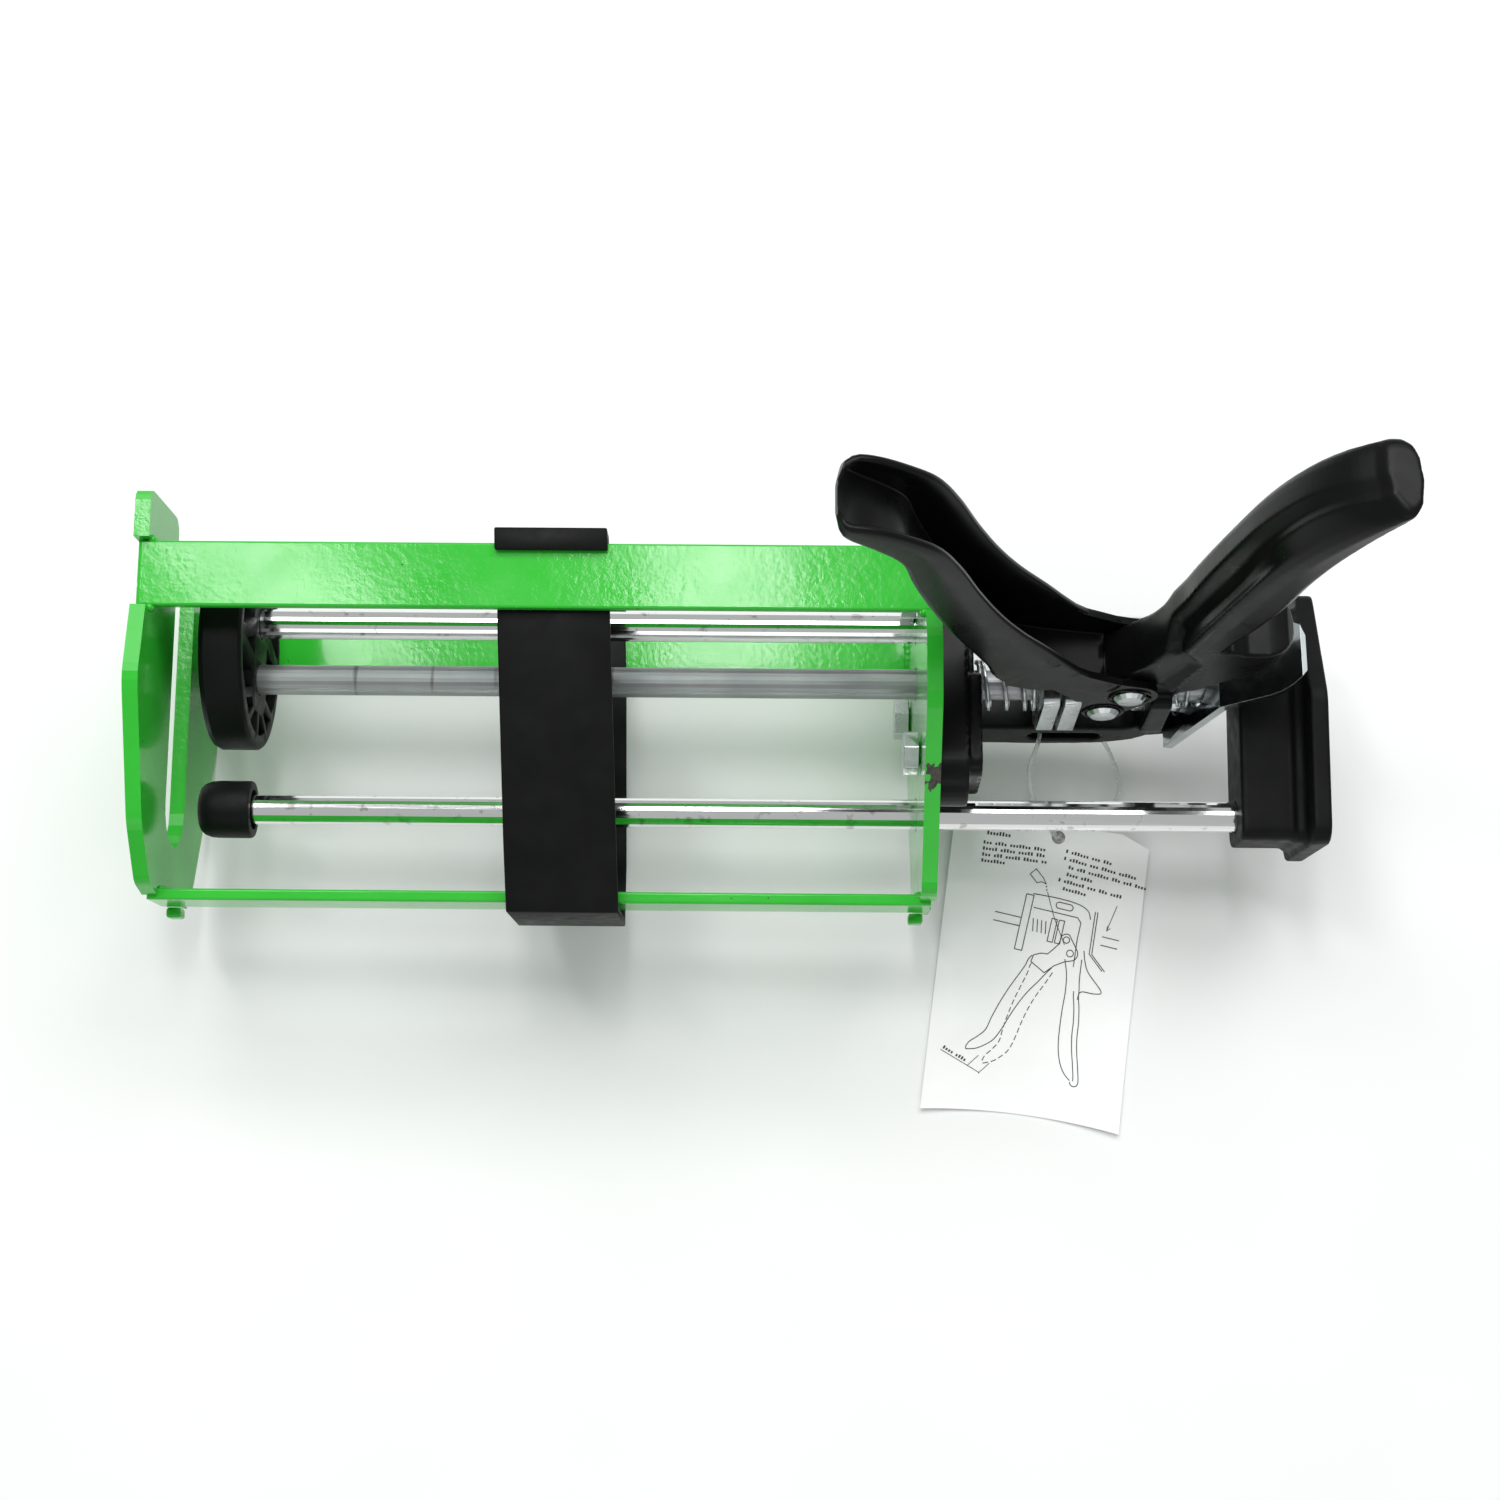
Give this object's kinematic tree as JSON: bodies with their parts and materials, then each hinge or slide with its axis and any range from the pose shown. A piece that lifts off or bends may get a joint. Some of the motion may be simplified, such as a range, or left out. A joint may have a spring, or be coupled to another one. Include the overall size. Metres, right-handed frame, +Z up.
{
  "type": "caulking gun",
  "caption": "Hand-driven applicator for side-by-side cartridges: open green steel carriage, two unequal pistons on rods, cast handle with squeeze trigger, and a hang tag",
  "frame": {"origin": "middle of the footprint without the tag and its loop, on the surface the gun lies on", "axes": "+X from the pistons to the rear yoke along the rods, +Y to the carriage's open side, +Z up; the gun lies with its handle up"},
  "size_m": [0.3056, 0.1576, 0.1802],
  "materials": {
    "green_coat": "gloss powder coat with a light orange peel",
    "black_cast": "semi-matte black coating",
    "black_plastic": "moulded, matte",
    "chrome": "bright plated",
    "grey_steel": "drawn steel, unplated",
    "zinc": "bright zinc plated",
    "white_card": "coated card",
    "clear_nylon": "clear nylon"
  },
  "bodies": {
    "frame": {"front_plate": "green_coat", "rear_plate": "green_coat", "near_strap": "green_coat", "far_strap": "green_coat", "side_strap": "green_coat", "handle_casting": "black_cast", "flange_bolt_1": "zinc", "flange_bolt_2": "zinc", "flange_bolt_3": "zinc", "pivot_pin": "zinc", "adjusting_screw": "zinc", "adjuster_cap": "black_plastic", "release_spring": "zinc", "drive_spring": "zinc", "hang_tag": "white_card", "tag_loop": "clear_nylon", "loop_lock": "clear_nylon"},
    "trigger": {"trigger": "black_cast", "push_pin": "zinc"},
    "drive_plates": {"front_drive_plate": "zinc", "rear_drive_plate": "zinc"},
    "release_lever": {"release_lever": "zinc"},
    "rod_carriage": {"drive_rod": "grey_steel", "guide_rod": "chrome", "narrow_rod": "chrome", "wide_piston": "black_plastic", "narrow_piston": "black_plastic", "rear_yoke": "black_plastic", "piston_screw_1": "zinc", "piston_screw_2": "zinc", "piston_screw_3": "zinc", "yoke_screw_1": "zinc", "yoke_screw_2": "zinc", "yoke_screw_3": "zinc"},
    "clip": {"cartridge_clip": "black_plastic"}
  },
  "joints": [
    {"name": "trigger_hinge", "type": "hinge", "parent": "frame", "child": "trigger", "pos_m": [0.1015, 0.01466, 0.06272], "axis": [0, 0.9903, -0.1392], "range_deg": [0, 32], "stiffness_Nm_per_rad": 1, "springref_deg": -22.92},
    {"name": "drive_stroke", "type": "slide", "parent": "frame", "child": "drive_plates", "axis": [-1, 0, 0], "range_m": [0, 0.005], "deforming": ["drive_spring"]},
    {"name": "release_hinge", "type": "hinge", "parent": "frame", "child": "release_lever", "pos_m": [0.1174, 0.00904, 0.02271], "axis": [0, 0.9903, -0.1392], "range_deg": [-8, 0], "stiffness_Nm_per_rad": 0.5, "springref_deg": 17.19, "deforming": ["release_spring"]},
    {"name": "rod_slide", "type": "slide", "parent": "frame", "child": "rod_carriage", "axis": [1, 0, 0], "range_m": [0, 0.165]},
    {"name": "clip_slide", "type": "slide", "parent": "frame", "child": "clip", "axis": [1, 0, 0], "range_m": [-0.08, 0.07]}
  ],
  "couplings": [
    {"joint": "drive_stroke", "follows": "trigger_hinge", "m_per_rad": 0.0088}
  ]
}
